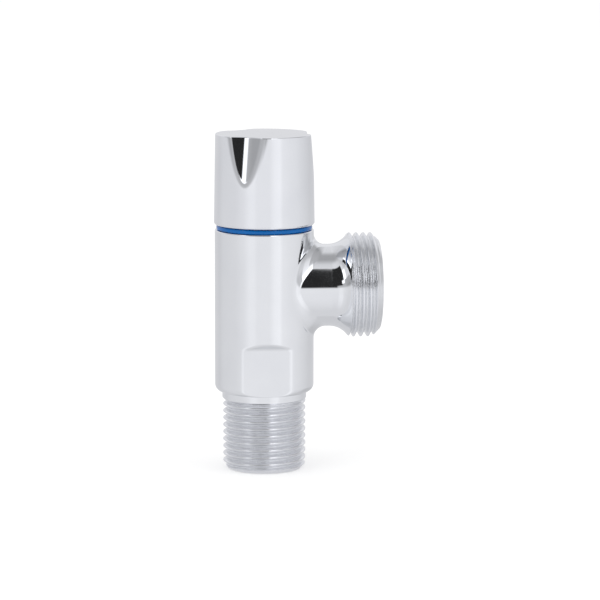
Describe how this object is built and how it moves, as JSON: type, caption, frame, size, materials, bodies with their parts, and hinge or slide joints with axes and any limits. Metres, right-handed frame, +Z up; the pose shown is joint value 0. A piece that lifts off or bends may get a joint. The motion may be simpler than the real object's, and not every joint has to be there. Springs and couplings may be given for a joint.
{
  "type": "angle valve",
  "caption": "Chrome-plated quarter-turn angle valve: threaded inlet below, threaded hose outlet at the side, fluted knob with a blue ring.",
  "frame": {"origin": "centre of the inlet end face, on the inlet and knob axis", "axes": "+Z up the inlet and knob axis, +X along the outlet, away from the barrel"},
  "size_m": [0.0417, 0.0264, 0.0851],
  "materials": {
    "chrome_body": "polished chrome plate over forged brass",
    "chrome_knob": "polished chrome plate over die-cast zinc",
    "blue_plastic": "glossy moulded plastic",
    "brass": "turned brass",
    "rubber": "moulded rubber",
    "white_plastic": "moulded acetal",
    "steel": "stamped spring steel",
    "ceramic": "lapped alumina ceramic"
  },
  "bodies": {
    "root": {"valve_body": "chrome_body", "headwork_housing": "brass", "housing_o_ring": "rubber", "indicator_ring": "blue_plastic", "slip_washer": "white_plastic", "fixed_disc": "ceramic", "seat_seal": "rubber", "seal_support_ring": "white_plastic"},
    "knob": {"knob": "chrome_knob", "spline_insert": "white_plastic", "grip_ring": "steel", "spindle": "brass", "spindle_o_ring_lower": "rubber", "spindle_o_ring_upper": "rubber", "stop_ring": "steel", "spindle_clip": "steel", "rotating_disc": "ceramic"}
  },
  "joints": [
    {"name": "knob_turn", "type": "hinge", "parent": "root", "child": "knob", "pos_m": [0, 0, 0.0736], "axis": [0, 0, 1], "range_deg": [0, 90]}
  ]
}
